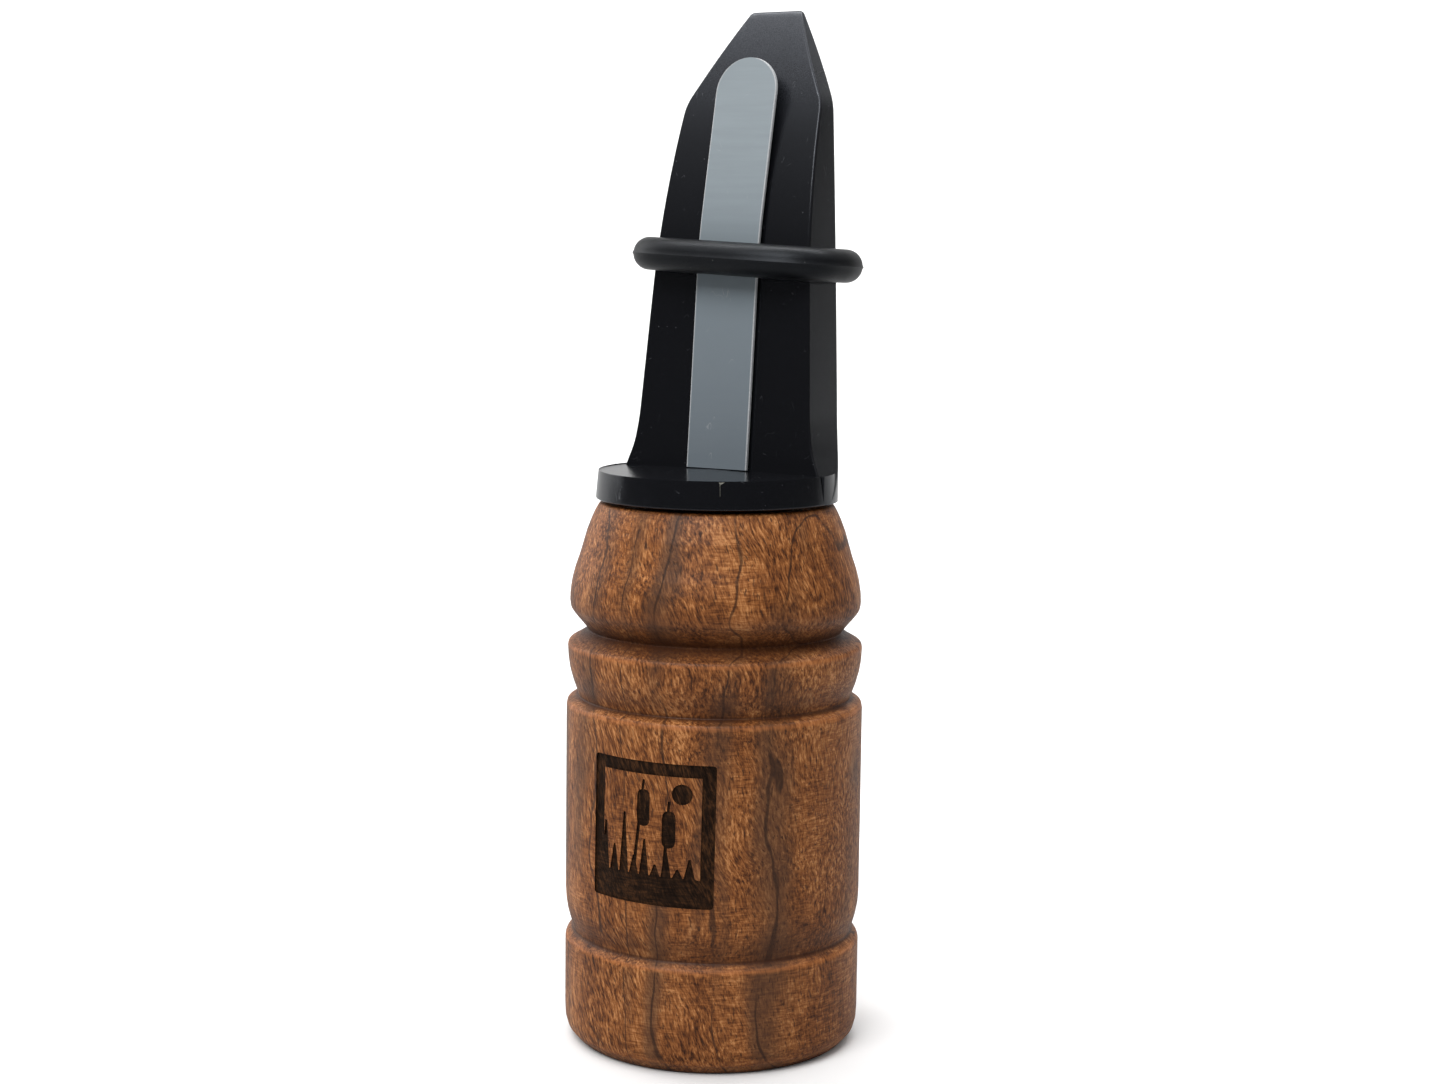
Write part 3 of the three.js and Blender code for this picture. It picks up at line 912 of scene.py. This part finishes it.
relief = math_node(figure_group, "SUBTRACT", fibres, pores)
figure_values = {"Tone": tone, "Streaks": streaks, "Lines": lines, "Pores": pores, "Relief": relief}
for name, value in figure_values.items():
    figure_group.links.new(value, figure_out[name])
print("wood figure:", len(figure_group.nodes), "nodes")

# %% [markdown]
# The turned grooves, the coves below them and the foot's bottom edge are painted darker: that is painted
# shade, where less light reaches. The lips beside the grooves are painted lighter and redder: those are
# painted highlights. A groove is a place on the axis, so this small group gives a soft mask round one
# height. The painted shade adds up several of them, and so do the painted highlights.

# %% Ring mask group
ring_mask_group, ring_mask_in, ring_mask_out = new_group(
    "turned_ring_mask", {"Height": ("Float", 10.0), "Half Width": ("Float", 1.0)}, {"Mask": "Float"}
)
ring_z = scaled(ring_mask_group, height_of(ring_mask_group, place_in_metres(ring_mask_group)), 1000.0)
from_ring = math_node(ring_mask_group, "SUBTRACT", ring_z, ring_mask_in["Height"])
from_ring = math_node(ring_mask_group, "ABSOLUTE", from_ring)
near_ring = math_node(ring_mask_group, "DIVIDE", from_ring, ring_mask_in["Half Width"])
ring_mask_group.links.new(between(ring_mask_group, near_ring, 1.0, 0.0), ring_mask_out["Mask"])


def add_rings(tree, rings):
    """The sum of several ring masks, given as (height, half width, strength)."""
    total = None
    for height, half_width, strength in rings:
        mask = use_group(tree, ring_mask_group, {"Height": height, "Half Width": half_width})["Mask"]
        mask = scaled(tree, mask, strength)
        total = mask if total is None else math_node(tree, "ADD", total, mask, clamp=True)
    return total


# %% Oiled wood
# Painted shade: darker rings in the grooves, in the coves below them and at the foot's bottom edge, as
# (height, half width, strength).
PAINTED_SHADE_RINGS = [
    (11.75, 0.35, 0.9), (12.9, 2.4, 0.45), (36.75, 0.35, 0.9), (37.9, 2.4, 0.4),
    (43.7, 1.7, 0.95), (45.6, 3.0, 0.40), (0.0, 0.9, 0.7),
]
# Painted highlight: lighter, redder rings on the lips beside the grooves, on the foot's rounding and on the
# dome.
PAINTED_HIGHLIGHT_RINGS = [
    (1.2, 0.8, 0.4), (11.0, 0.4, 0.8), (36.0, 0.4, 0.9), (42.2, 0.45, 0.8), (46.6, 1.2, 0.25),
]

wood, wood_tree, wood_shader = new_material("oiled_hardwood")
figure = use_group(wood_tree, figure_group, {"Slant": 0.32, "Fleck Length": 0.34})
wood_color = ramp(wood_tree, figure["Tone"], [
    (0.14, (0.040, 0.011, 0.003)), (0.40, (0.185, 0.060, 0.016)),
    (0.60, (0.340, 0.122, 0.034)), (0.86, (0.620, 0.275, 0.100)),
])
painted_edge_highlight = math_node(wood_tree, "MULTIPLY", add_rings(wood_tree, PAINTED_HIGHLIGHT_RINGS), figure["Tone"])
# Real stains first (streaks, pores, growth lines), then the painted highlight on the lips and the painted
# shade in the grooves.
stains_and_painted_light = [
    (scaled(wood_tree, figure["Streaks"], 0.72), (0.090, 0.042, 0.022)),
    (scaled(wood_tree, figure["Pores"], 0.75), (0.045, 0.018, 0.008)),
    (scaled(wood_tree, figure["Lines"], 0.75), (0.028, 0.012, 0.007)),
    (painted_edge_highlight, (0.50, 0.18, 0.06)),
    (scaled(wood_tree, add_rings(wood_tree, PAINTED_SHADE_RINGS), 0.85), (0.045, 0.013, 0.004)),
]
for amount, layer_color in stains_and_painted_light:
    wood_color = mix(wood_tree, amount, wood_color, layer_color)
wood_rough = spread(wood_tree, figure["Tone"], 0.52, 0.40)
dress(wood_tree, wood_shader, wood_color, wood_rough, figure["Relief"], 0.35, 0.06 * MM)
wood_shader.inputs["Specular IOR Level"].default_value = 0.22
barrel.data.materials[0] = wood

# %% Burnt wood
burnt, burnt_tree, burnt_shader = new_material("burnt_wood")
burnt_figure = use_group(burnt_tree, figure_group, {"Slant": 0.32, "Fleck Length": 0.34})
burnt_color = ramp(burnt_tree, burnt_figure["Tone"], [
    (0.20, (0.008, 0.0035, 0.0016)), (0.50, (0.021, 0.0095, 0.0045)), (0.80, (0.075, 0.031, 0.012)),
])
burnt_rough = spread(burnt_tree, burnt_figure["Pores"], 0.62, 0.80)
dress(burnt_tree, burnt_shader, burnt_color, burnt_rough, burnt_figure["Relief"], 0.6, 0.1 * MM)
burnt_shader.inputs["Specular IOR Level"].default_value = 0.08
barrel.data.materials[1] = burnt
print("barrel finishes:", [item.name for item in barrel.data.materials])

# %% [markdown]
# ## The black moulding
#
# The mouthpiece is glossy black plastic. Such plastic is never quite even: it has a very fine grain, a few
# hair scratches, and specks of dust. Towards the tip it is rougher and its colour is lighter and greyer:
# partly wear from teeth and fingers, and partly a painted sheen and highlight where the tip leans back to
# the light above.
# The grain, scratches and specks are a group, because the reed and the rubber ring need them too, each
# with its own values.

# %% Handling marks group
marks_group, marks_in, marks_out = new_group(
    "handling_marks",
    {"Scale": ("Float", 1.0)},
    {"Grain": "Float", "Scratches": "Float", "Specks": "Float"},
)
marks_size = scaled(marks_group, marks_in["Scale"], 1000.0)
marks_inputs = {0: place_in_metres(marks_group), "Scale": marks_size}
marks_place = place(marks_group, "VectorMath", marks_inputs, operation="SCALE").outputs[0]
grain = noise(marks_group, marks_place, (9, 9, 9), 3.0, 0.6)
scratch_field = noise(marks_group, marks_place, (0.55, 0.55, 0.28), 1.0, 0.4, 0.8)
scratch_distance = math_node(marks_group, "ABSOLUTE", centred(marks_group, scratch_field))
scratch_area = between(marks_group, noise(marks_group, marks_place, (0.8, 0.8, 0.8)), 0.60, 0.68)
scratches = scaled(marks_group, between(marks_group, scratch_distance, 0.006, 0.001), scratch_area)
speck_cells = place(marks_group, "TexVoronoi", {"Vector": marks_place, "Scale": 1.1}, feature="F1")
speck_dots = between(marks_group, speck_cells.outputs["Distance"], 0.085, 0.05)
speck_area = between(marks_group, noise(marks_group, marks_place, (0.9, 0.9, 0.9), 1.0), 0.56, 0.62)
specks = scaled(marks_group, speck_dots, speck_area)
for name, value in (("Grain", grain), ("Scratches", scratches), ("Specks", specks)):
    marks_group.links.new(value, marks_out[name])
print("handling marks:", len(marks_group.nodes), "nodes")

# %% Moulded plastic
moulding, moulding_tree, moulding_shader = new_material("black_moulding")
marks = use_group(moulding_tree, marks_group, {"Scale": 1.0})
moulding_z = height_of(moulding_tree, place_in_metres(moulding_tree))
# Towards the tip, and most on its top edge, the colour turns lighter and greyer in patches: partly wear,
# partly painted sheen and highlight.
near_tip = between(moulding_tree, moulding_z, 94 * MM, 108.5 * MM)
tip_wear_and_sheen = scaled(moulding_tree, near_tip, between(moulding_tree, marks["Grain"], 0.25, 0.70))
edge_scuff_and_highlight = scaled(moulding_tree, between(moulding_tree, moulding_z, 106 * MM, 108.4 * MM), marks["Grain"])
wear_and_sheen = math_node(moulding_tree, "MAXIMUM", tip_wear_and_sheen, edge_scuff_and_highlight)
hair_scratches = scaled(moulding_tree, marks["Scratches"], 0.5)
blemish = math_node(moulding_tree, "MAXIMUM", hair_scratches, marks["Specks"])
moulding_color = mix(moulding_tree, wear_and_sheen, (0.0048, 0.0050, 0.0064), (0.040, 0.043, 0.052))
blemish_amount = scaled(moulding_tree, blemish, 0.8)
moulding_color = mix(moulding_tree, blemish_amount, moulding_color, (0.055, 0.056, 0.062))
moulding_rough = spread(moulding_tree, marks["Grain"], 0.13, 0.23)
moulding_rough = math_node(moulding_tree, "ADD", moulding_rough, scaled(moulding_tree, near_tip, 0.16))
blemish_rough = scaled(moulding_tree, blemish, 0.3)
moulding_rough = math_node(moulding_tree, "ADD", moulding_rough, blemish_rough, clamp=True)
scratch_depth = scaled(moulding_tree, marks["Scratches"], 2.0)
moulding_relief = math_node(moulding_tree, "SUBTRACT", marks["Grain"], scratch_depth)
dress(moulding_tree, moulding_shader, moulding_color, moulding_rough, moulding_relief, 0.2, 0.03 * MM)
moulding_shader.inputs["Specular Tint"].default_value = (0.86, 0.91, 1.0, 1)
mouthpiece.data.materials[0] = moulding

# %% Flash, whitened where it was trimmed
flash, flash_tree, flash_shader = new_material("trimmed_flash")
flash_marks = use_group(flash_tree, marks_group, {"Scale": 1.6})
flash_color = ramp(flash_tree, flash_marks["Grain"], [
    (0.35, (0.02, 0.02, 0.02)), (0.60, (0.34, 0.33, 0.28)),
])
flash_tree.links.new(flash_color, flash_shader.inputs["Base Color"])
flash_shader.inputs["Roughness"].default_value = 0.5
mouthpiece.data.materials[1] = flash
print("mouthpiece finishes:", [item.name for item in mouthpiece.data.materials])

# %% [markdown]
# ## Reed plastic and rubber
#
# The reed is clear-grey sheet with a faint frost. It is cut with a blade, and its cut edge is painted
# almost
# white: a painted highlight for the light inside the sheet that comes out there. The free end stands off
# the board, so light gets behind it; its colour is painted paler towards the free end and darker at the
# foot, as painted light and shade. The ring and seals are one black rubber, duller than the moulding,
# with a fine skin and a little dust.

# %% Reed sheet
reed_sheet, reed_tree, reed_shader = new_material("clear_grey_sheet")
reed_marks = use_group(reed_tree, marks_group, {"Scale": 0.8})
reed_place = place_in_millimetres(reed_tree)
# Painted light and shade: darker at the foot, which lies flat on the board, and paler towards the free end,
# where light gets behind the lifted reed.
reed_color = ramp(reed_tree, between(reed_tree, height_of(reed_tree, reed_place), 60.0, 102.0), [
    (0.0, (0.165, 0.196, 0.225)), (0.5, (0.225, 0.268, 0.300)), (1.0, (0.345, 0.395, 0.425)),
])
rolling = scaled(reed_tree, noise(reed_tree, reed_place, (0.12, 0.5, 1.6), 3.0, 0.6), 0.5)
reed_color = mix(reed_tree, rolling, reed_color, (0.20, 0.23, 0.25))
reed_scratches = scaled(reed_tree, reed_marks["Scratches"], 0.35)
reed_color = mix(reed_tree, reed_scratches, reed_color, (0.5, 0.52, 0.54))
reed_rough = spread(reed_tree, reed_marks["Grain"], 0.26, 0.42)
dress(reed_tree, reed_shader, reed_color, reed_rough, reed_marks["Grain"], 0.08, 0.02 * MM)
reed.data.materials[0] = reed_sheet

# %% The reed's cut edge
cut_edge, cut_tree, cut_shader = new_material("cut_sheet_edge")
cut_marks = use_group(cut_tree, marks_group, {"Scale": 1.4})
# Painted highlight: the cut edge is painted pale grey to near white for the light that comes out of it.
cut_edge_highlight = ramp(cut_tree, cut_marks["Grain"], [(0.25, (0.30, 0.32, 0.34)), (0.75, (0.70, 0.71, 0.72))])
cut_tree.links.new(cut_edge_highlight, cut_shader.inputs["Base Color"])
cut_tree.links.new(spread(cut_tree, cut_marks["Grain"], 0.3, 0.6), cut_shader.inputs["Roughness"])
reed.data.materials[1] = cut_edge
print("reed finishes:", [item.name for item in reed.data.materials])

# %% Rubber
rubber, rubber_tree, rubber_shader = new_material("black_rubber")
rubber_marks = use_group(rubber_tree, marks_group, {"Scale": 0.9})
rubber_color = ramp(rubber_tree, rubber_marks["Grain"], [
    (0.3, (0.0020, 0.0022, 0.0028)), (0.7, (0.0065, 0.0068, 0.0080)),
])
dust = scaled(rubber_tree, rubber_marks["Specks"], 0.6)
rubber_color = mix(rubber_tree, dust, rubber_color, (0.09, 0.09, 0.085))
rubber_rough = spread(rubber_tree, rubber_marks["Grain"], 0.27, 0.46)
dress(rubber_tree, rubber_shader, rubber_color, rubber_rough, rubber_marks["Grain"], 0.4, 0.05 * MM)
rubber_shader.inputs["Specular IOR Level"].default_value = 0.2
rubber_shader.inputs["Specular Tint"].default_value = (0.84, 0.91, 1.0, 1)
for rubber_piece in (ring, *seals):
    rubber_piece.data.materials.clear()
    rubber_piece.data.materials.append(rubber)
print("finishes:", [item.name for item in bpy.data.materials if item.users])

# %% [markdown]
# ## Fastening each piece to its body
#
# Each piece but the reed now rides on the body of the CAD model that it belongs to, and stands for its CAD
# nodes. The reed is one strip across a joint: its foot is held on the mouthpiece and its free end flexes.
# It rides on no body: it keeps its place in the frame and stands for both of its CAD nodes.

# %% Ride on the bodies and stand for the CAD nodes
RIDERS = [
    (barrel, "barrel", "barrel", "wood"),
    (mouthpiece, "mouthpiece", "mouthpiece", "moulding"),
    (ring, "tuning_band", "tuning_band", "rubber"),
    (upper_seal, "tenon_seals", "tenon_seal_upper", "rubber"),
    (lower_seal, "tenon_seals", "tenon_seal_lower", "rubber"),
]
for piece, body, node, slot_name in RIDERS:
    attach(piece, body)
    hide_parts(node)
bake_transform(reed)
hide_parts("reed_tail", "reed_tongue")
